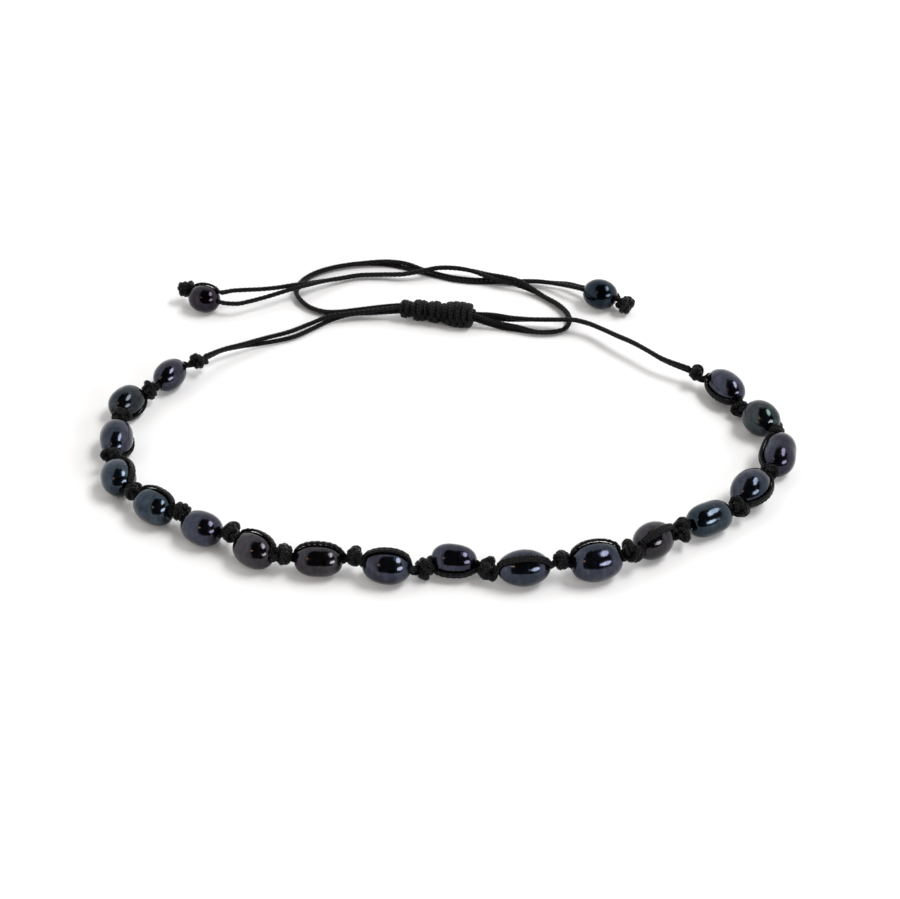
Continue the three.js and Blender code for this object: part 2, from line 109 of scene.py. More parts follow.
LEFT_TAIL = (
    (4.4, 25.1, 1.15, 0, 0.75), (5.8, 24.9, 0.75, 0, 0.75), (7.4, 24.6, 0.4, 0, 0.75),
    (9.7, 24.1, 0.3, -0.2, 0.73), (12.1, 23.6, 0.3, -0.6, 0.48), (14.2, 23.6, 0.3, -0.6, 0.46),
    (15.6, 24.1, 0.3, -0.55, 0.51), (16.4, 25.3, 0.3, -0.35, 0.67), (16.6, 27.0, 0.3, 0, 0.75),
    (16.3, 28.7, 0.3, 0.36, 0.66), (15.3, 30.5, 0.3, 0.48, 0.58), (13.8, 32.2, 0.3, 0.53, 0.53),
    (12.1, 33.6, 0.5, 0.35, 0.7), (10.0, 34.5, 0.9, -0.25, 0.78), (7.9, 35.1, 1.2, -0.72, 0.42),
    (5.7, 36.2, 1.3, -0.82, -0.05), (3.5, 37.5, 1.45, -0.68, -0.42), (1.1, 38.2, 1.5, -0.6, -0.45),
    (-1.3, 38.2, 1.5, -0.6, -0.45), (-3.6, 37.5, 1.4, -0.6, -0.45), (-6.2, 37.2, 1.1, -0.6, -0.45),
    (-9.1, 37.5, 0.85, -0.6, -0.45), (-12.2, 37.4, 0.8, -0.6, -0.45), (-14.9, 36.4, 0.9, -0.6, -0.45),
    (-17.3, 34.8, 1.35, -0.68, -0.32), (-19.3, 33.1, 1.8, -0.75, -0.05), (-21.1, 31.9, 2.0, -0.8, 0.2),
    (-23.0, 30.9, 1.9, -1.0, 0.5), (-25.0, 29.9, 1.8, -1.7, 0.7), (-26.8, 28.9, 1.85, -2.5, 0.8),
    (-28.3, 28.3, 1.85, -3.0, 0.8),
)
RIGHT_TAIL = (
    (-6.7, 28.0, 1.15, 0, 0.75), (-8.3, 28.15, 0.9, 0, 0.75), (-10.2, 28.3, 0.6, 0.1, 0.75),
    (-12.4, 28.35, 0.4, 0.3, 0.69), (-14.4, 28.4, 0.3, 0.5, 0.56), (-16.5, 28.6, 0.3, 0.59, 0.46),
    (-18.5, 29.6, 0.3, 0.54, 0.52), (-19.9, 31.3, 0.3, 0.43, 0.62), (-20.8, 33.3, 0.3, 0.17, 0.73),
    (-20.6, 35.3, 0.3, -0.23, 0.71), (-19.8, 37.2, 0.3, -0.44, 0.6), (-18.2, 38.9, 0.3, -0.54, 0.52),
    (-16.0, 40.2, 0.3, -0.58, 0.48), (-13.6, 41.0, 0.3, -0.59, 0.46), (-11.0, 41.3, 0.3, -0.5, 0.56),
    (-8.3, 41.0, 0.3, -0.1, 0.74), (-5.9, 40.2, 0.3, 0.5, 0.56), (-3.6, 39.0, 0.3, 0.75, 0.1),
    (-1.3, 37.9, 0.3, 0.75, 0), (1.1, 36.9, 0.3, 0.75, 0), (3.4, 36.4, 0.3, 0.75, 0),
    (5.8, 36.2, 0.35, 0.75, 0), (8.1, 36.1, 0.5, 0.73, -0.15), (10.3, 35.9, 0.72, 0.62, -0.42),
    (12.5, 35.6, 0.9, 0.62, -0.42), (14.5, 34.7, 1.2, 0.9, -0.5), (16.2, 33.5, 1.6, 1.6, -0.6),
)

# The pearl on each tail, in the columns of PEARLS after its x and y, and its stopper knot: x, y, height
# and length.
LEFT_END = ((-33.1, 29.5), (4.4, 3.7, 160, 0, 0, 0, 50, 2.2, 0.0, 0.0, "deep brown"), (-35.7, 31.5, 2.2, 2.1))
RIGHT_END = ((21.1, 30.4), (4.8, 4.1, -28, 0, 0, 0, 200, 2.1, 0.0, 0.0, "deep blue"), (24.4, 28.6, 1.5, 2.3))

# The sliding knot: the middles of its two end faces, its height, and the half width of each lobe with the
# share of the length at which it ends.
SLIDING_LEFT = (-6.4, 27.6)
SLIDING_RIGHT = (4.1, 25.5)
SLIDING_HEIGHT = 1.58
SLIDING_LOBES = ((0.17, 1.2), (0.37, 1.42), (0.57, 1.45), (1.0, 1.7))

HUES = {
    "purple": ("#2f2d38", "#393d48"),
    "charcoal": ("#292d31", "#36393e"),
    "blue": ("#2c323c", "#393b47"),
    "teal": ("#29323a", "#373f48"),
    "deep blue": ("#1e252d", "#283039"),
    "deep brown": ("#252128", "#2e2a31"),
    "brown": ("#302d31", "#3a383c"),
    "green": ("#293432", "#363a3e"),
}

# The opening of the studio tent, seen from the bracelet: the middle and half of its width in degrees to the
# right of the camera, and the sine of the height at which it ends.
OPENING_TURN = (10, 50)
OPENING_TOP = 0.97
OPENING_BLUR = (0.08, 0.03)  # of its sides, in radians, and of its top
OPENING_COLOUR = (0.01, 0.01, 0.012, 1)

# Lamps: place, width and height in metres, radiance and colour.
LAMPS = (
    ("Upper box", (0.38, 0.02, 0.70), 0.52, 0.27, 11.5, "#ffffff"),
    ("Lower box", (0.51, -0.54, 0.29), 0.47, 0.25, 12.0, "#ffffff"),
    ("Warm lamp", (-0.42, -0.42, 0.53), 0.11, 0.056, 16.0, "#ffc890"),
)

# Cords, in mm.
CORD_DIAMETER = 0.6
CORD_RADIUS = CORD_DIAMETER / 2
RING_STEP = 0.11
TUBE_SIDES = 16
PLAIT_ROUND = 4  # bumps of the plait round the cord
END_RUN = 0.1  # over which a cord is rounded at its ends
END_SHARE = 0.75  # of its thickness that is left there
PAIR_CLOSENESS = 0.82  # share of the tables' offset at which the second cord of a pair is laid
HIDDEN_START = 0.9  # run hidden in the sliding knot
PAST_HOLE = 0.1  # the cord through a pearl has places this far past its ends
INSIDE_HOLE = 0.5  # and this far inside them
TAIL_RUN_IN = 1.0  # straight run of a tail before its pearl
TIP_SHORT = 0.5  # how far short of the stopper's middle a tail aims
TIP_SHARE = 0.8  # of the way there at which it ends

# A cord beside a pearl: angles in degrees from end to end of the pearl at which it is laid, its middle's
# distance off the pearl in mm, and how much wider and thinner it is pressed, with a groove along its middle.
BESIDE_ANGLES = (35, 48, 62, 76, 90, 104, 118, 132, 145)
BESIDE_STAND = 0.21
SLOPE_STEP = 0.02
PRESSED_WIDER = 0.48
PRESSED_THINNER = 0.3
GROOVE_DEPTH = 0.3
GROOVE_WIDTH = 0.14

# Overhand knots. One is tied large, in mm, and taken down to the size of each place.
TIED_LENGTH = 2.6
TIED_SPREAD = 0.34  # from the middle of the pair to each strand
TIED_THICKNESS = 0.6  # nearer than this, two strands push each other apart
KNOT_FULLNESS = 1.1  # times the length that its place gives
KNOT_REACH = 1.35  # of a tied strand that is kept on each side of a knot on the string
STOPPER_REACH = 1.15  # and of a stopper
KNOT_CORD_RADIUS = 0.33  # at the scale below
KNOT_CORD_SCALE = 0.85
KNOT_LIFT = 0.4  # how far a knot's swell leans upwards
STOPPER_SWELL = (0, 0.4, 1)

# The cords of the sliding knot, in mm, and the form of its lobes as shares of their half width.
WOUND_PITCH = 0.44
WOUND_RADIUS = 0.37
WOUND_MARGIN = 0.35  # bare run at each end
WOUND_POINTS = 12  # on each half turn
WOUND_DIP = 0.22  # of a wound cord past the middle, at the sides
WOUND_RING_STEP = 0.13
TOP_ROUND = 0.75  # powers that square off a turn over the top and at the sides
SIDE_ROUND = 0.8
LOBE_HEIGHT = 0.95
LOBE_NECK = 0.68
LOBE_SWELL = 0.34
CORE_RADIUS = 0.29  # of the four cords inside, which end short of the end faces
CORE_INSET = 0.15
CORE_SIDES = 12

# A pearl's shape and mesh, in mm. The waist is in shares of the half length.
WAIST_PLACE = 0.15
WAIST_WIDTH = 0.28
PEARL_SEGMENTS = 64
OUTLINE_POINTS = 45
OUTLINE_START = 12  # degrees from the tip at which the nacre ends at the drill hole
HOLE_RADIUS = 0.38
RIM_WIDTH = 0.09  # least distance of the nacre from the hole, rounded off by the two values below
RIM_EDGE = (0.02, 0.03)
RIM_DEPTH = 0.06
PATCHES_PER_MM = 0.55  # cells of the noise that makes the nacre uneven, and of its growth rings
RINGS_PER_MM = 3.1
END_SEEDS = {"left": 30, "right": 41}

# Cells of the noise patterns to the metre: 0.11 mm for the cord's fibres, drawn coarser than real fibres so
# that they show, 3.3 mm for the drift of a pearl's tint and 0.67 mm for its clouds.
FIBRE_CELLS = 9000.0
DRIFT_CELLS = 300.0
CLOUD_CELLS = 1500.0

# Cells of the fine lines, over a pearl's length and round it. They come 0.2 to 0.28 mm apart, coarser than
# the finest real ones, so that they show.
LINE_CELLS = (22, 0.8, 1)

# How much lighter the cord's colour is painted on the top of its weave: a painted highlight on the ridges of
# the plait and the fibres.
WEAVE_PAINTED_HIGHLIGHT = 3.2

# Camera: what it looks at in the tables' plan, in mm, and its lens and sensor width in mm.
AIM = (0.5, -2.2)
LENS = 72
SENSOR = 36

# The floor ends where the lamps still light it white: half its width and its shift to the right, in metres.
FLOOR_HALF = 0.3
FLOOR_SHIFT = 0.13


class CordSizes(bpy.types.PropertyGroup):
    plait: bpy.props.FloatProperty(name="Plait", description="Length of one repeat of the plait",
                                   default=0.66 * MM, unit="LENGTH")
    relief: bpy.props.FloatProperty(name="Relief", description="Height of the plait as a share of the radius",
                                    default=0.11, subtype="FACTOR")
    colour: bpy.props.FloatVectorProperty(name="Colour", description="Colour of the waxed cord",
                                          default=(0.0012, 0.0012, 0.0016), size=3, subtype="COLOR")


class PearlSizes(bpy.types.PropertyGroup):
    wobble: bpy.props.FloatProperty(name="Wobble", description="Height of the uneven nacre",
                                    default=0.018 * MM, unit="LENGTH")
    ring_depth: bpy.props.FloatProperty(name="Growth rings", description="Depth of the rings round the pearl",
                                        default=0.008 * MM, unit="LENGTH")
    lustre: bpy.props.FloatProperty(name="Lustre", description="Metallic share of the nacre",
                                    default=0.96, subtype="FACTOR")
    polish: bpy.props.FloatProperty(name="Polish", description="Roughness of the polished nacre",
                                    default=0.13, subtype="FACTOR")


class StageSizes(bpy.types.PropertyGroup):
    distance: bpy.props.FloatProperty(name="Camera distance", description="Camera to the middle of the view",
                                      default=0.222, unit="LENGTH")
    pitch: bpy.props.FloatProperty(name="Camera pitch", description="How far the camera looks down",
                                   default=math.radians(37.1), subtype="ANGLE")
    walls: bpy.props.FloatProperty(name="Walls", description="Brightness of the tent's walls", default=1.27)
    floor_colour: bpy.props.FloatVectorProperty(name="Floor", description="Colour of the floor",
                                                default=(0.88, 0.88, 0.88), size=3, subtype="COLOR")


def linear(hex_colour):
    channels = [int(hex_colour[i:i + 2], 16) / 255 for i in (1, 3, 5)]
    return tuple(c / 12.92 if c <= 0.04045 else ((c + 0.055) / 1.055) ** 2.4 for c in channels) + (1.0,)


def place(x, y):
    """A place given in mm in the tables' plan, in metres in the shared frame."""
    return Vector((x - MIDDLE[0], y - MIDDLE[1], 0)) * MM


def heading(degrees):
    return Vector((math.cos(math.radians(degrees)), math.sin(math.radians(degrees)), 0))


def unit(rows):
    return rows / np.maximum(np.linalg.norm(rows, axis=1), 1e-12)[:, None]


def spline(rows, step):
    """Centripetal Catmull-Rom through the rows, whose first three columns are a place, at an even step."""
    rows = np.asarray(rows, float)
    ends = np.vstack((2 * rows[0] - rows[1], rows, 2 * rows[-1] - rows[-2]))
    knots = np.concatenate(([0], np.cumsum(np.sqrt(np.linalg.norm(np.diff(ends[:, :3], axis=0), axis=1)))))
    fine = []
    for i in range(1, len(ends) - 2):
        t0, t1, t2, t3 = knots[i - 1:i + 3]
        t = np.linspace(t1, t2, 25)[:-1, None]
        a1 = (t1 - t) / (t1 - t0) * ends[i - 1] + (t - t0) / (t1 - t0) * ends[i]
        a2 = (t2 - t) / (t2 - t1) * ends[i] + (t - t1) / (t2 - t1) * ends[i + 1]
        a3 = (t3 - t) / (t3 - t2) * ends[i + 1] + (t - t2) / (t3 - t2) * ends[i + 2]
        b1 = (t2 - t) / (t2 - t0) * a1 + (t - t0) / (t2 - t0) * a2
        b2 = (t3 - t) / (t3 - t1) * a2 + (t - t1) / (t3 - t1) * a3
        fine.append((t2 - t) / (t2 - t1) * b1 + (t - t1) / (t2 - t1) * b2)
    fine = np.vstack(fine + [rows[-1:]])
    run = np.concatenate(([0], np.cumsum(np.linalg.norm(np.diff(fine[:, :3], axis=0), axis=1))))
    places = np.linspace(0, run[-1], max(3, round(run[-1] / step) + 1))
    return np.column_stack([np.interp(places, run, fine[:, k]) for k in range(rows.shape[1])])


def turning_frames(line):
    """Tangent and two directions across the line at each point, without twist."""
    tangent = unit(np.gradient(line, axis=0))
    across = np.zeros_like(line)
    seed = np.cross(tangent[0], (0, 0, 1))
    across[0] = seed / np.linalg.norm(seed)
    for i in range(1, len(line)):
        step = across[i - 1] - tangent[i] * np.dot(across[i - 1], tangent[i])
        across[i] = step / np.linalg.norm(step)
    return tangent, across, np.cross(tangent, across)


def finish_piece(name, bm, material, node):
    """The mesh becomes an object that rides on the bracelet and stands for the CAD node."""
    mesh = bpy.data.meshes.new(name)
    bm.to_mesh(mesh)
    bm.free()
    mesh.shade_smooth()
    piece = bpy.data.objects.new(name, mesh)
    bpy.context.scene.collection.objects.link(piece)
    mesh.materials.append(material)
    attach(piece, BODY)
    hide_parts(node)
    return piece


def roll_tube(rows, sides=TUBE_SIDES):
    """A plaited cord: a flat grid rolled round the line, with the plait in its surface.

    Columns of rows: place in mm, radius, how flat the cord is pressed, and the direction it is pressed in.
    """
    sizes = bpy.context.scene.bracelet_cord
    line = rows[:, :3]
    tangent, across, over = turning_frames(line)
    run = np.concatenate(([0], np.cumsum(np.linalg.norm(np.diff(line, axis=0), axis=1))))
    bm = bmesh.new()
    bm.loops.layers.uv.new("cord")
    bmesh.ops.create_grid(bm, x_segments=len(rows) - 1, y_segments=sides, size=1.0, calc_uvs=True)
    grid = np.array([v.co[:2] for v in bm.verts])
    ring = np.rint((grid[:, 0] + 1) / 2 * (len(rows) - 1)).astype(int)
    turn = (grid[:, 1] + 1) * math.pi
    bump = np.cos(PLAIT_ROUND * turn) * np.cos(2 * math.pi * run[ring] / (sizes.plait / MM))
    ends = np.clip(np.minimum(run[ring], run[-1] - run[ring]) / END_RUN, END_SHARE, 1)
    radius = rows[ring, 3] * (1 + sizes.relief * bump) * ends
    offset = radius[:, None] * (np.cos(turn)[:, None] * across[ring] + np.sin(turn)[:, None] * over[ring])
    press = unit(rows[ring, 5:8])
    beside = np.cross(tangent[ring], press)
    flat = rows[ring, 4][:, None]
    thick = (offset * press).sum(1)[:, None]
    wide = (offset * beside).sum(1)[:, None]
    groove = GROOVE_DEPTH * np.exp(-(wide / GROOVE_WIDTH) ** 2)
    offset += flat * ((PRESSED_WIDER * wide) * beside - (PRESSED_THINNER + groove) * thick * press)
    corners = (line[ring] + offset) * MM
    for vertex, corner in zip(bm.verts, corners):
        vertex.co = corner
    uv = bm.loops.layers.uv.active
    for face in bm.faces:
        for loop in face.loops:
            loop[uv].uv.x *= run[-1]
    seam = [v for v, place_round in zip(bm.verts, grid[:, 1]) if abs(place_round) > 0.999]
    bmesh.ops.remove_doubles(bm, verts=seam, dist=1e-7)
    bmesh.ops.holes_fill(bm, edges=[e for e in bm.edges if e.is_boundary], sides=0)
    bmesh.ops.recalc_face_normals(bm, faces=bm.faces)
    return bm


def joined(bms):
    """One mesh of several."""
    whole = bmesh.new()
    for bm in bms:
        part = bpy.data.meshes.new("part")
        bm.to_mesh(part)
        bm.free()
        whole.from_mesh(part)
        bpy.data.meshes.remove(part)
    return whole


class Pearl:
    """Where a pearl lies, in mm, and its shape."""

    def __init__(self, x, y, row):
        self.length, self.diameter, axis, tilt, self.bearing, self.gap, self.beside = row[:7]
        self.fullness, self.taper, self.waist, self.hue = row[7:]
        level = heading(axis)
        self.along = level * math.cos(math.radians(tilt)) + Vector((0, 0, math.sin(math.radians(tilt))))
        self.outward = Vector((level.y, -level.x, 0))
        self.over = self.outward.cross(self.along).normalized()
        lowest = max(self.radius(t) * math.cos(math.radians(tilt)) + abs(t) * self.length / 2
                     * math.sin(math.radians(tilt)) for t in np.linspace(-0.98, 0.98, 99))
        self.centre = Vector((x, y, lowest))

    def radius(self, t):
        """Half thickness at the share t of the half length, from -1 to 1."""
        round_end = max(0.0, 1 - abs(t) ** self.fullness) ** (1 / self.fullness)
        waist = 1 - self.waist * math.exp(-((t - WAIST_PLACE) / WAIST_WIDTH) ** 2)
        return self.diameter / 2 * round_end * (1 + self.taper * t) * waist / (1 + abs(self.taper) * 0.1)

    def point(self, distance, away=0.0, side=0.0):
        """The place at a distance along the hole from the middle and away from it to a side in degrees."""
        turn = math.radians(side)
        direction = self.outward * math.cos(turn) + self.over * math.sin(turn)
        return self.centre + self.along * distance + direction * away

    def beside_line(self, stand):
        """Places beside the pearl at which a cord lies on it, with the direction off the surface."""
        rows = []
        for degrees in BESIDE_ANGLES:
            t = -math.cos(math.radians(degrees))
            rise = self.radius(min(t + SLOPE_STEP, 0.99)) - self.radius(max(t - SLOPE_STEP, -0.99))
            slope = rise / (SLOPE_STEP * self.length)
            tip = math.hypot(1, slope)
            away = self.radius(t) + stand / tip
            along = t * self.length / 2 - stand * slope / tip
            place_on = self.point(along, away, self.beside)
            out = self.point(0, 1, self.beside) - self.point(0, 0, self.beside)
            normal = out / tip - self.along * slope / tip
            rows.append((place_on, normal, math.sin(math.radians(degrees))))
        return rows


def lay_pearls():
    """The pearls of the string, each laid from the one before."""
    pearls = []
    x, y = FIRST_PEARL
    for i, row in enumerate(PEARLS):
        pearl = Pearl(x, y, row)
        pearls.append(pearl)
        if i + 1 < len(PEARLS):
            step = pearl.length / 2 + pearl.gap + PEARLS[i + 1][0] / 2
            x += step * math.cos(math.radians(pearl.bearing))
            y += step * math.sin(math.radians(pearl.bearing))
    return pearls


def rope_ties(strands, ends, full, tight, rounds, thickness):
    """Draws the strands from their full length tight between fixed ends, while they push each other apart."""
    pulled_by = 0.75 * rounds
    stiffness = 0.12
    count = len(strands[0])
    points = np.concatenate(strands)
    owner = np.repeat(np.arange(len(strands)), count)
    place_on = np.tile(np.arange(count), len(strands))
    for turn in range(rounds):
        share = min(1, turn / pulled_by)
        rest = (full * (1 - share) + tight * share) / (count - 1)
        for k, (first, last) in enumerate(ends):
            strand = points[k * count:(k + 1) * count]
            for _ in range(6):
                for start in (0, 1):
                    a = strand[start:-1:2]
                    b = strand[start + 1::2][:len(a)]
                    a = a[:len(b)]
                    gap = b - a
                    size = np.linalg.norm(gap, axis=1)[:, None]
                    pull = gap * 0.5 * (size - rest) / np.maximum(size, 1e-9)
                    strand[start:start + 2 * len(a):2] += pull
                    strand[start + 1:start + 1 + 2 * len(a):2] -= pull
                strand[0], strand[-1] = first, last
            strand[1:-1] += stiffness * ((strand[:-2] + strand[2:]) / 2 - strand[1:-1])
        gap = points[:, None] - points[None]
        size = np.sqrt((gap ** 2).sum(2)) + 1e-9
        far = abs(place_on[:, None] - place_on[None]) > 1.5 * thickness / rest
        apart = (owner[:, None] != owner[None]) | far
        near = (size < thickness) & apart
        push = (np.where(near, (thickness - size) / size, 0)[:, :, None] * gap * 0.5).sum(1)
        points += push / np.clip(near.sum(1), 1, 3)[:, None]
        for k, (first, last) in enumerate(ends):
            points[k * count], points[(k + 1) * count - 1] = first, last
    return [points[k * count:(k + 1) * count] for k in range(len(strands))]


@functools.cache
def tie_overhand():
    """Two cords side by side in one overhand knot, pulled tight along X and centred on the knot.

    Their route before the pull is a trefoil opened at one side, with a run in and a run out.
    """
    half_width = 5.0
    count = 110
    turn = np.linspace(-math.pi + 0.62, math.pi - 0.62, 200)
    loop = np.column_stack((np.sin(turn) + 2 * np.sin(2 * turn), np.cos(turn) - 2 * np.cos(2 * turn),
                            -1.15 * np.sin(3 * turn)))
    enters = ((-9, -3.6, -0.9), (-6, -3.5, -0.9), (-3, -3.4, -0.9), (-1, -3.4, -0.8))
    leaves = ((1, -2.9, 0.8), (3, -3.2, 0.9), (6, -3.4, 0.9), (9, -3.6, 0.9))
    route = np.vstack((enters, loop, leaves)) * 0.95 + (0, 2.85, 0)
    run = np.concatenate(([0], np.cumsum(np.linalg.norm(np.diff(route, axis=0), axis=1))))
    route = np.column_stack([np.interp(np.linspace(0, run[-1], count), run, route[:, k]) for k in range(3)])
    for _ in range(30):
        route[1:-1] = (route[1:-1] * 2 + route[:-2] + route[2:]) / 4
    left = unit(np.cross((0, 0, 1.0), np.gradient(route, axis=0)))
    strands = [route + left * side for side in (TIED_SPREAD, -TIED_SPREAD)]
    ends = [(np.array((-half_width, side, 0)), np.array((half_width, side, 0)))
            for side in (TIED_SPREAD, -TIED_SPREAD)]
    full = np.linalg.norm(np.diff(strands[0], axis=0), axis=1).sum()
    strands = rope_ties(strands, ends, full, tight=18.0, rounds=700, thickness=TIED_THICKNESS)
    body = np.vstack([s[np.abs(s[:, 0]) < TIED_LENGTH / 2] for s in strands])
    middle = (body.min(0) + body.max(0)) / 2
    return [s - middle for s in strands]


def knot_rows(strand, centre, run, lift, size, flip, reach=KNOT_REACH):
    """Part of a tied strand inside the knot, placed and taken down to size."""
    scale = size * KNOT_FULLNESS / TIED_LENGTH
    forward = np.array(run) / np.linalg.norm(run)
    up = np.array(lift) - forward * np.dot(lift, forward)
    up /= np.linalg.norm(up)
    side = np.cross(forward, up) * flip
    inside = strand[np.abs(strand[:, 0]) < reach]
    spread = inside @ np.array((forward, up, side)) * scale + np.array(centre)
    rows = np.zeros((len(spread), 8))
    rows[:, :3] = spread
    rows[:, 3] = KNOT_CORD_RADIUS * scale / KNOT_CORD_SCALE
    rows[:, 7] = 1
    return rows


def plain_row(point, radius=CORD_RADIUS, flat=0.0, normal=(0, 0, 1)):
    """A row for roll_tube."""
    return (*point, radius, flat, *normal)


def smoothed(rows, times):
    """The rows with their places evened out; the two ends stay."""
    for _ in range(times):
        rows[1:-1, :3] = (rows[1:-1, :3] * 2 + rows[:-2, :3] + rows[2:, :3]) / 4
    return rows


def lay_knots(pearls):
    """Centre, run, direction of the swell and size of each knot on the string."""
    knots = []
    for i, (height, outward, size) in enumerate(KNOTS):
        before = pearls[i].point(pearls[i].length / 2)
        after = pearls[i + 1].point(-pearls[i + 1].length / 2)
        run = after - before
        level = Vector((run.y, -run.x, 0)).normalized()
        middle = (before + after) / 2
        centre = middle + level * outward
        centre.z = height
        lift = centre - middle + Vector((0, 0, KNOT_LIFT))
        knots.append((centre, run, lift, size))
    first = Vector(FIRST_KNOT[:3])
    last = Vector(LAST_KNOT[:3])
    up = Vector((0, 0, 1))
    knots.insert(0, (first, pearls[0].centre - first, up, FIRST_KNOT[3]))
    knots.append((last, last - pearls[-1].centre, up, LAST_KNOT[3]))
    return knots


def string_lines():
    """The two cords of the beaded part: one through every pearl, one beside."""
    pearls = lay_pearls()
    knots = lay_knots(pearls)
    tied = tie_overhand()
    through, beside = [], []
    left = pair_lines(LEFT_BACK)
    right = pair_lines(RIGHT_BACK)
    through.append(plain_row(left[0][0]))
    beside.append(plain_row(left[1][0]))
    for i, (centre, run, lift, size) in enumerate(knots):
        flip = 1 if i % 2 else -1
        for rows, strand in ((through, tied[0]), (beside, tied[1])):
            rows.extend(map(tuple, knot_rows(strand, centre, run, lift, size, flip)[::2]))
        if i == len(pearls):
            break
        pearl = pearls[i]
        half = pearl.length / 2
        for distance in (-half - PAST_HOLE, -half + INSIDE_HOLE, 0, half - INSIDE_HOLE, half + PAST_HOLE):
            through.append(plain_row(pearl.point(distance)))
        for point, normal, flat in pearl.beside_line(BESIDE_STAND):
            beside.append(plain_row(point, CORD_RADIUS, flat ** 0.5, normal))
    through.append(plain_row(right[0][0]))
    beside.append(plain_row(right[1][0]))
    return [smoothed(spline(rows, RING_STEP), times=4) for rows in (through, beside)]


def pair_lines(table):
    """The middle lines of both cords of a pair, in mm."""
    first = [Vector(row[:3]) for row in table]
    second = []
    for i, row in enumerate(table):
        run = first[min(i + 1, len(first) - 1)] - first[max(i - 1, 0)]
        left = Vector((-run.y, run.x, 0)).normalized()
        second.append(first[i] + (left * row[3] + Vector((0, 0, row[4]))) * PAIR_CLOSENESS)
    return first, second


def tail_rows(table, pearl, knot):
    """The two cords of a tail: one through its pearl, one beside it, both to the stopper knot."""
    first, second = pair_lines(table)
    half = pearl.length / 2
    for line in (first, second):
        line.insert(0, line[0] + (line[0] - line[1]).normalized() * HIDDEN_START)
    through = [plain_row(p) for p in first]
    through += [plain_row(pearl.point(d)) for d in (-half - TAIL_RUN_IN, -half, 0, half)]
    beside = [plain_row(p) for p in second]
    beside += [plain_row(point, CORD_RADIUS, flat ** 0.5, normal)
               for point, normal, flat in pearl.beside_line(BESIDE_STAND)]
    tip = Vector(knot[:3])
    run = tip - pearl.centre
    for rows in (through, beside):
        last = Vector(rows[-1][:3])
        rows.append(plain_row(last.lerp(tip - run.normalized() * TIP_SHORT, TIP_SHARE)))
    return [smoothed(spline(rows, RING_STEP), times=3) for rows in (through, beside)]


def shifted(rows):
    """Rows in the tables' plan moved to the shared frame, still in mm."""
    rows = np.array(rows, float)
    rows[:, :3] -= (*MIDDLE, 0)
    return rows


def lobe_radius(share):
    """Half width of the sliding knot, in mm, at a share of its length."""
    start = 0.0
    for end, radius in SLIDING_LOBES:
        if share <= end or end == SLIDING_LOBES[-1][0]:
            inside = (share - start) / (end - start)
            return radius * (LOBE_NECK + LOBE_SWELL * math.sin(math.pi * min(max(inside, 0), 1)) ** 0.5)
        start = end


def add_node(nodes, links, kind, inputs=None, **settings):
    """A shader node with its settings and its input values or links."""
    node = nodes.new(kind)
    for key, value in settings.items():
        setattr(node, key, value)
    for socket, value in (inputs or {}).items():
        if isinstance(value, bpy.types.NodeSocket):
            links.new(value, node.inputs[socket])
        else:
            node.inputs[socket].default_value = value
    return node


def new_material(name):
    material = bpy.data.materials.new(name)
    material.use_nodes = True
    tree = material.node_tree
    return material, tree.nodes, tree.links, tree.nodes["Principled BSDF"]


def waxed_cord():
    """Waxed plaited polyester cord: near black, with a dull shine on the top of each plait, partly from its
    gloss and partly a painted highlight, the colour lighter there.

    The weave in the bump is half the size of the plait in the mesh: 0.33 mm along the cord, eight round it.
    """
    material, nodes, links, shader = new_material("Waxed plaited polyester cord")
    sizes = bpy.context.scene.bracelet_cord
    shader.inputs["Roughness"].default_value = 0.34
    shader.inputs["IOR"].default_value = 1.22
    uv = add_node(nodes, links, "ShaderNodeUVMap", uv_map="cord")
    parts = add_node(nodes, links, "ShaderNodeSeparateXYZ", {0: uv.outputs[0]})
    round_cord = add_node(nodes, links, "ShaderNodeMath", {0: parts.outputs["Y"], 1: 2.0 * PLAIT_ROUND},
                          operation="MULTIPLY")
    plait = sizes.plait / MM
    length_wise = add_node(nodes, links, "ShaderNodeMath", {0: parts.outputs["X"], 1: 2 / plait},
                           operation="MULTIPLY")
    one_way = add_node(nodes, links, "ShaderNodeMath", {0: round_cord.outputs[0], 1: length_wise.outputs[0]},
                       operation="ADD")
    other_way = add_node(nodes, links, "ShaderNodeMath", {0: round_cord.outputs[0], 1: length_wise.outputs[0]},
                         operation="SUBTRACT")
    waves = []
    for way in (one_way, other_way):
        turned = add_node(nodes, links, "ShaderNodeMath", {0: way.outputs[0], 1: math.pi}, operation="MULTIPLY")
        waves.append(add_node(nodes, links, "ShaderNodeMath", {0: turned.outputs[0]}, operation="SINE"))
    weave = add_node(nodes, links, "ShaderNodeMath", {0: waves[0].outputs[0], 1: waves[1].outputs[0]},
                     operation="MULTIPLY")
    coords = add_node(nodes, links, "ShaderNodeTexCoord")
    fibre = add_node(nodes, links, "ShaderNodeTexNoise",
                     {"Vector": coords.outputs["Object"], "Scale": FIBRE_CELLS, "Detail": 3.0})
    height = add_node(nodes, links, "ShaderNodeMath", {0: weave.outputs[0], 1: fibre.outputs["Fac"]},
                      operation="ADD")
    bump = add_node(nodes, links, "ShaderNodeBump", {"Height": height.outputs[0], "Distance": 0.00009,
                                                     "Strength": 1.0})
    links.new(bump.outputs[0], shader.inputs["Normal"])
    # Painted highlight: the colour runs from the cord's own near black in the low parts of the weave to lighter
    # on its tops.
    dark = (*sizes.colour, 1)
    painted_highlight_colour = tuple(c * WEAVE_PAINTED_HIGHLIGHT for c in sizes.colour) + (1,)
    painted_highlight_ramp = add_node(nodes, links, "ShaderNodeValToRGB", {0: height.outputs[0]})
    painted_highlight_ramp.color_ramp.elements[0].position = 0.2
    painted_highlight_ramp.color_ramp.elements[0].color = dark
    painted_highlight_ramp.color_ramp.elements[1].position = 1.0
    painted_highlight_ramp.color_ramp.elements[1].color = painted_highlight_colour
    links.new(painted_highlight_ramp.outputs[0], shader.inputs["Base Color"])
    return material


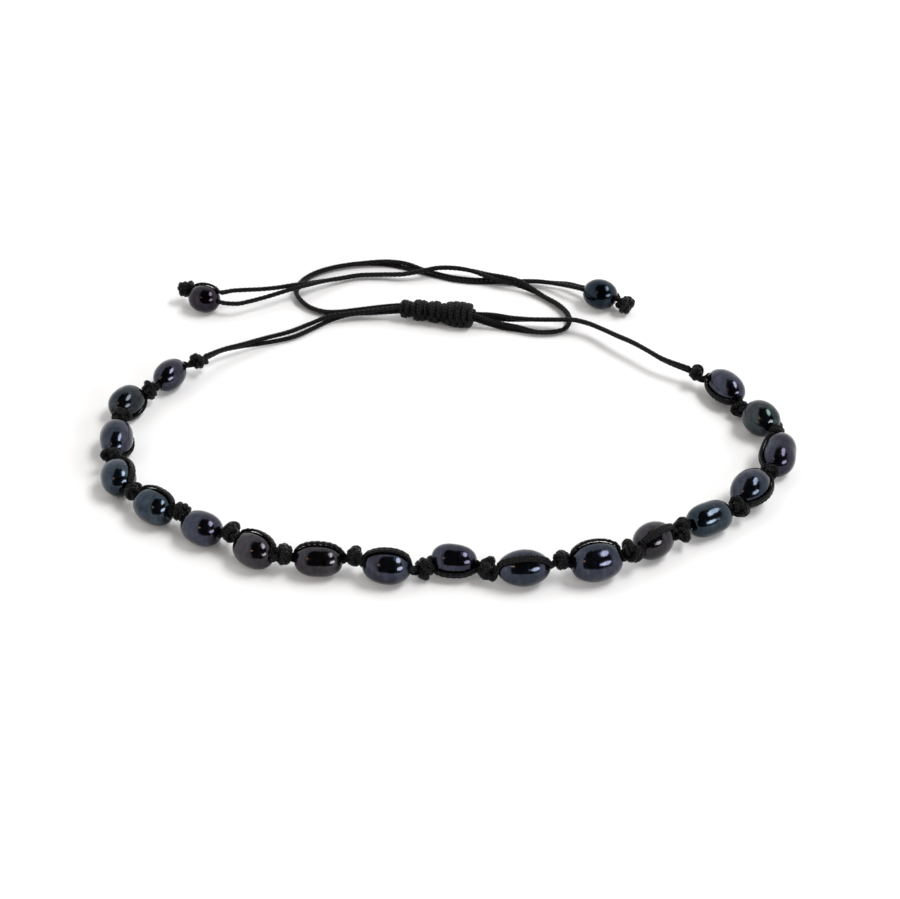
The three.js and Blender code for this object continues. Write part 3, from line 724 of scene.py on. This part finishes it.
def nacre(hue):
    """Dyed and polished nacre: its thin layers mirror the room darkly, and the tint drifts over the pearl."""
    name = f"Polished dyed nacre {hue}"
    if name in bpy.data.materials:
        return bpy.data.materials[name]
    material, nodes, links, shader = new_material(name)
    body, overtone = (linear(c) for c in HUES[hue])
    sizes = bpy.context.scene.bracelet_pearl
    shader.inputs["Metallic"].default_value = sizes.lustre
    uv = add_node(nodes, links, "ShaderNodeUVMap", uv_map="pearl")
    lines_at = add_node(nodes, links, "ShaderNodeMapping", {"Vector": uv.outputs[0], "Scale": LINE_CELLS})
    lines = add_node(nodes, links, "ShaderNodeTexNoise",
                     {"Vector": lines_at.outputs[0], "Scale": 1.0, "Detail": 3.0})
    coords = add_node(nodes, links, "ShaderNodeTexCoord")
    drift = add_node(nodes, links, "ShaderNodeTexNoise",
                     {"Vector": coords.outputs["Object"], "Scale": DRIFT_CELLS, "Detail": 1.0})
    clouds = add_node(nodes, links, "ShaderNodeTexNoise",
                      {"Vector": coords.outputs["Object"], "Scale": CLOUD_CELLS, "Detail": 3.0})
    tint = add_node(nodes, links, "ShaderNodeValToRGB", {0: drift.outputs["Fac"]})
    tint.color_ramp.elements[0].position = 0.38
    tint.color_ramp.elements[0].color = body
    tint.color_ramp.elements[1].position = 0.62
    tint.color_ramp.elements[1].color = overtone
    veil = add_node(nodes, links, "ShaderNodeMath", {0: lines.outputs["Fac"], 1: clouds.outputs["Fac"]},
                    operation="ADD")
    depth = add_node(nodes, links, "ShaderNodeMapRange",
                     {"Value": veil.outputs[0], "From Min": 0.7, "From Max": 1.3,
                      "To Min": 0.62, "To Max": 1.4})
    shade = add_node(nodes, links, "ShaderNodeMix", {0: 1.0, 6: tint.outputs[0], 7: depth.outputs[0]},
                     data_type="RGBA", blend_type="MULTIPLY")
    links.new(shade.outputs[2], shader.inputs["Base Color"])
    dull = add_node(nodes, links, "ShaderNodeMapRange",
                    {"Value": veil.outputs[0], "From Min": 0.7, "From Max": 1.3,
                     "To Min": sizes.polish * 0.7, "To Max": sizes.polish * 1.4})
    links.new(dull.outputs[0], shader.inputs["Roughness"])
    bump = add_node(nodes, links, "ShaderNodeBump", {"Height": veil.outputs[0], "Distance": 0.00002,
                                                     "Strength": 0.45})
    links.new(bump.outputs[0], shader.inputs["Normal"])
    return material


def pearl_mesh(pearl, seed):
    """A drilled pearl: half its outline spun round the hole, then made a little uneven."""
    sizes = bpy.context.scene.bracelet_pearl
    half = pearl.length / 2
    bm = bmesh.new()
    bm.loops.layers.uv.new("pearl")
    outline = []
    for degrees in np.linspace(OUTLINE_START, 180 - OUTLINE_START, OUTLINE_POINTS):
        t = -math.cos(math.radians(degrees))
        outline.append((t * half, max(pearl.radius(t), HOLE_RADIUS + RIM_WIDTH)))
    rim = outline[0][0]
    edge = HOLE_RADIUS + RIM_EDGE[1]
    outline = [(rim - RIM_EDGE[0], edge), *outline, (-rim + RIM_EDGE[0], edge)]
    outline += [(t * (-rim - RIM_DEPTH), HOLE_RADIUS) for t in (1, 0.5, 0, -0.5, -1)]
    corners = [bm.verts.new((x, 0, r)) for x, r in outline]
    edges = [bm.edges.new((a, b)) for a, b in zip(corners, corners[1:] + corners[:1])]
    bmesh.ops.spin(bm, geom=corners + edges, cent=(0, 0, 0), axis=(1, 0, 0), angle=2 * math.pi,
                   steps=PEARL_SEGMENTS, use_merge=True)
    bmesh.ops.remove_doubles(bm, verts=bm.verts, dist=1e-5)
    for vertex in bm.verts:
        away = math.hypot(vertex.co.y, vertex.co.z)
        if away > HOLE_RADIUS + 0.01:
            patch = noise.noise(vertex.co * PATCHES_PER_MM + Vector((seed * 7.3, 0, 0)))
            ring = noise.noise(Vector((vertex.co.x * RINGS_PER_MM + seed * 3.7, 0, 0)))
            grow = 1 + (patch * sizes.wobble + ring * sizes.ring_depth) / MM / away
            vertex.co.y *= grow
            vertex.co.z *= grow
    bmesh.ops.recalc_face_normals(bm, faces=bm.faces)
    uv = bm.loops.layers.uv.active
    for face in bm.faces:
        middle = face.calc_center_median()
        base = math.atan2(middle.z, middle.y)
        for loop in face.loops:
            turn = math.atan2(loop.vert.co.z, loop.vert.co.y)
            turn += round((base - turn) / (2 * math.pi)) * 2 * math.pi
            loop[uv].uv = (loop.vert.co.x / pearl.length + 0.5, turn / (2 * math.pi) + 0.5)
    turned = Matrix((pearl.along, pearl.outward, pearl.over)).transposed().to_4x4()
    shift = Matrix.Translation(pearl.centre - Vector((*MIDDLE, 0)))
    bmesh.ops.transform(bm, matrix=Matrix.Scale(MM, 4) @ shift @ turned, verts=bm.verts)
    if turned.to_3x3().determinant() < 0:
        bmesh.ops.reverse_faces(bm, faces=bm.faces)
    return bm


class BRACELET_OT_camera(bpy.types.Operator):
    """Sets the camera at the angle from which the bracelet is seen"""
    bl_idname = "bracelet.camera"
    bl_label = "Camera"

    def execute(self, context):
        stage = context.scene.bracelet_stage
        data = bpy.data.cameras.new("Camera")
        data.sensor_width = SENSOR
        data.lens = LENS
        data.clip_start = 0.01
        data.clip_end = 20
        camera = bpy.data.objects.new("Camera", data)
        context.scene.collection.objects.link(camera)
        target = place(*AIM)
        back = Vector((0, -math.cos(stage.pitch), math.sin(stage.pitch)))
        camera.location = target + back * stage.distance
        camera.rotation_euler = (math.pi / 2 - stage.pitch, 0, 0)
        context.scene.camera = camera
        return {"FINISHED"}


class BRACELET_OT_tails(bpy.types.Operator):
    """Makes the two free tails with their pearls and stopper knots"""
    bl_idname = "bracelet.tails"
    bl_label = "Tails"

    def execute(self, context):
        cord = waxed_cord()
        tied = tie_overhand()
        for side, table, (spot, row, knot) in (("left", LEFT_TAIL, LEFT_END), ("right", RIGHT_TAIL, RIGHT_END)):
            pearl = Pearl(*spot, row)
            end_pearl = f"{side}_end_pearl"
            pearl_piece = finish_piece(f"{end_pearl}_nacre", pearl_mesh(pearl, END_SEEDS[side]),
                                       nacre(pearl.hue), end_pearl)
            centre = Vector(knot[:3])
            run = centre - pearl.centre
            strands = [knot_rows(s, centre, run, STOPPER_SWELL, knot[3], 1, STOPPER_REACH) for s in tied]
            lines = [smoothed(spline(s[::2], RING_STEP), times=2) for s in strands]
            stopper = joined([roll_tube(shifted(line)) for line in lines])
            knot_piece = finish_piece(f"{side}_end_knot_cord", stopper, cord, f"{side}_end_knot")
            for number, rows in enumerate(tail_rows(table, pearl, knot), 1):
                rows = shifted(rows)
                node = f"{side}_tail_{number}"
                piece = finish_piece(f"{node}_cord", roll_tube(rows), cord, node)
        return {"FINISHED"}


class BRACELET_OT_back_cords(bpy.types.Operator):
    """Makes the back cords that run from the pearls to the sliding knot"""
    bl_idname = "bracelet.back_cords"
    bl_label = "Back cords"

    def execute(self, context):
        cord = bpy.data.materials["Waxed plaited polyester cord"]
        for side, table in (("left", LEFT_BACK), ("right", RIGHT_BACK)):
            for number, line in enumerate(pair_lines(table), 1):
                run = (line[-1] - line[-2]).normalized()
                rows = [plain_row(p) for p in line] + [plain_row(line[-1] + run * HIDDEN_START)]
                tube = roll_tube(shifted(spline(rows, RING_STEP)))
                node = f"{side}_cord_{number}"
                finish_piece(f"{node}_plait", tube, cord, node)
        return {"FINISHED"}


class BRACELET_OT_knotted_cord(bpy.types.Operator):
    """Makes the two cords of the beaded part with an overhand knot between all pearls"""
    bl_idname = "bracelet.knotted_cord"
    bl_label = "Knotted cord"

    def execute(self, context):
        cord = bpy.data.materials["Waxed plaited polyester cord"]
        for name, rows in zip(("through_cord", "beside_cord"), string_lines()):
            finish_piece(name, roll_tube(shifted(rows)), cord, "knotted_cord")
        return {"FINISHED"}


class BRACELET_OT_sliding_knot(bpy.types.Operator):
    """Makes the sliding knot: a row of square knots round the cords"""
    bl_idname = "bracelet.sliding_knot"
    bl_label = "Sliding knot"

    def execute(self, context):
        cord = bpy.data.materials["Waxed plaited polyester cord"]
        left = Vector((*SLIDING_LEFT, SLIDING_HEIGHT))
        right = Vector((*SLIDING_RIGHT, SLIDING_HEIGHT))
        along = (right - left).normalized()
        across = Vector((-along.y, along.x, 0))
        length = (right - left).length
        bars = int((length - 2 * WOUND_MARGIN) / WOUND_PITCH)
        lines = ([], [])
        for step in range(bars * WOUND_POINTS + 1):
            share = step / WOUND_POINTS
            distance = WOUND_MARGIN + share * WOUND_PITCH
            lobe = lobe_radius(distance / length)
            swing = -math.cos(math.pi * share)
            top = abs(math.sin(math.pi * share)) ** TOP_ROUND
            wide = (lobe - CORD_RADIUS) * math.copysign(abs(swing) ** SIDE_ROUND, swing)
            high = lobe * LOBE_HEIGHT - CORD_RADIUS
            for rows, hand in zip(lines, (1, -1)):
                height = hand * (high * top - WOUND_DIP * (1 - top))
                point = left + along * distance + across * wide * hand + Vector((0, 0, height))
                rows.append(plain_row(point, WOUND_RADIUS))
        bms = [roll_tube(shifted(smoothed(spline(rows, WOUND_RING_STEP), times=3))) for rows in lines]
        for side in (CORD_RADIUS, -CORD_RADIUS):
            for up in (CORD_RADIUS, -CORD_RADIUS):
                ends = [left + along * d + across * side + Vector((0, 0, up))
                        for d in (CORE_INSET, length / 2, length - CORE_INSET)]
                rows = spline([plain_row(p, CORE_RADIUS) for p in ends], WOUND_RING_STEP)
                bms.append(roll_tube(shifted(rows), CORE_SIDES))
        finish_piece("sliding_knot_cords", joined(bms), cord, "sliding_knot")
        return {"FINISHED"}


class BRACELET_OT_pearls(bpy.types.Operator):
    """Makes the pearls of the string"""
    bl_idname = "bracelet.pearls"
    bl_label = "Pearls"

    def execute(self, context):
        for number, pearl in enumerate(lay_pearls(), 1):
            node = f"pearl_{number:02d}"
            finish_piece(f"{node}_nacre", pearl_mesh(pearl, number), nacre(pearl.hue), node)
        return {"FINISHED"}


class BRACELET_OT_stage(bpy.types.Operator):
    """Makes the floor and the studio light"""
    bl_idname = "bracelet.stage"
    bl_label = "Stage"

    def execute(self, context):
        scene = context.scene
        bm = bmesh.new()
        bmesh.ops.create_grid(bm, x_segments=1, y_segments=1, size=FLOOR_HALF,
                              matrix=Matrix.Translation((FLOOR_SHIFT, 0, 0)))
        mesh = bpy.data.meshes.new("Floor")
        bm.to_mesh(mesh)
        bm.free()
        floor = bpy.data.objects.new("Floor", mesh)
        scene.collection.objects.link(floor)
        # Matt white paper: an even white ground with soft shadows.
        material, _, _, shader = new_material("White studio paper")
        shader.inputs["Base Color"].default_value = (*scene.bracelet_stage.floor_colour, 1)
        shader.inputs["Roughness"].default_value = 0.8
        mesh.materials.append(material)
        self.tent(scene)
        for name, at, width, height, radiance, tint in LAMPS:
            self.lamp(scene, name, at, width, height, radiance, tint)
        scene.view_settings.view_transform = "Standard"
        return {"FINISHED"}

    @staticmethod
    def tent(scene):
        """White walls all round, with the dark opening that the bracelet is photographed through."""
        stage = scene.bracelet_stage
        world = bpy.data.worlds.new("Studio tent")
        world.use_nodes = True
        scene.world = world
        nodes, links = world.node_tree.nodes, world.node_tree.links
        towards = add_node(nodes, links, "ShaderNodeTexCoord").outputs["Generated"]
        reach = []
        for axis in (Vector((1, 0, 0)), Vector((0, math.sin(stage.pitch), math.cos(stage.pitch))),
                     Vector((0, -math.cos(stage.pitch), math.sin(stage.pitch)))):
            reach.append(add_node(nodes, links, "ShaderNodeVectorMath", {0: towards, 1: axis},
                                  operation="DOT_PRODUCT").outputs["Value"])
        turn = add_node(nodes, links, "ShaderNodeMath", {0: reach[0], 1: reach[2]}, operation="ARCTAN2")
        middle, half = (math.radians(a) for a in OPENING_TURN)
        aside = add_node(nodes, links, "ShaderNodeMath", {0: turn.outputs[0], 1: middle}, operation="SUBTRACT")
        away = add_node(nodes, links, "ShaderNodeMath", {0: aside.outputs[0]}, operation="ABSOLUTE")
        aside_blur, top_blur = OPENING_BLUR
        across = add_node(nodes, links, "ShaderNodeMapRange",
                          {"Value": away.outputs[0], "From Min": half + aside_blur,
                           "From Max": half - aside_blur})
        upright = add_node(nodes, links, "ShaderNodeMapRange",
                           {"Value": reach[1], "From Min": OPENING_TOP + top_blur,
                            "From Max": OPENING_TOP - top_blur})
        opening = add_node(nodes, links, "ShaderNodeMath", {0: across.outputs[0], 1: upright.outputs[0]},
                           operation="MULTIPLY")
        seen = add_node(nodes, links, "ShaderNodeLightPath").outputs["Is Camera Ray"]
        hidden = add_node(nodes, links, "ShaderNodeMath", {0: 1.0, 1: seen}, operation="SUBTRACT")
        dark = add_node(nodes, links, "ShaderNodeMath", {0: opening.outputs[0], 1: hidden.outputs[0]},
                        operation="MULTIPLY")
        colour = add_node(nodes, links, "ShaderNodeMix",
                          {0: dark.outputs[0], 6: (1, 1, 1, 1), 7: OPENING_COLOUR}, data_type="RGBA")
        links.new(colour.outputs[2], nodes["Background"].inputs[0])
        nodes["Background"].inputs[1].default_value = stage.walls

    @staticmethod
    def lamp(scene, name, at, width, height, radiance, tint):
        data = bpy.data.lights.new(name, "AREA")
        data.shape = "ELLIPSE"
        data.size = width
        data.size_y = height
        data.energy = radiance * math.pi * (math.pi / 4 * width * height)
        data.color = linear(tint)[:3]
        lamp = bpy.data.objects.new(name, data)
        lamp.location = at
        lamp.rotation_euler = (-Vector(at)).to_track_quat("-Z", "Y").to_euler()
        scene.collection.objects.link(lamp)


class BRACELET_PT_panel(bpy.types.Panel):
    bl_label = "Bracelet"
    bl_idname = "BRACELET_PT_panel"
    bl_space_type = "VIEW_3D"
    bl_region_type = "UI"
    bl_category = "Bracelet"

    def draw(self, context):
        for name in ("bracelet_cord", "bracelet_pearl", "bracelet_stage"):
            group = getattr(context.scene, name)
            for key in group.__annotations__:
                self.layout.prop(group, key)
        for operator in OPERATORS:
            self.layout.operator(operator.bl_idname)


OPERATORS = (BRACELET_OT_camera, BRACELET_OT_tails, BRACELET_OT_back_cords, BRACELET_OT_knotted_cord,
             BRACELET_OT_sliding_knot, BRACELET_OT_pearls, BRACELET_OT_stage)
GROUPS = {"bracelet_cord": CordSizes, "bracelet_pearl": PearlSizes, "bracelet_stage": StageSizes}


def register():
    for name, group in GROUPS.items():
        bpy.utils.register_class(group)
        setattr(bpy.types.Scene, name, bpy.props.PointerProperty(type=group))
    for part in (*OPERATORS, BRACELET_PT_panel):
        bpy.utils.register_class(part)


def unregister():
    for part in (BRACELET_PT_panel, *reversed(OPERATORS)):
        bpy.utils.unregister_class(part)
    for name, group in GROUPS.items():
        delattr(bpy.types.Scene, name)
        bpy.utils.unregister_class(group)


def main():
    register()
    bpy.ops.bracelet.camera()
    bpy.ops.bracelet.tails()
    bpy.ops.bracelet.back_cords()
    bpy.ops.bracelet.knotted_cord()
    bpy.ops.bracelet.sliding_knot()
    bpy.ops.bracelet.pearls()
    bpy.ops.bracelet.stage()


if __name__ == "__main__":
    main()
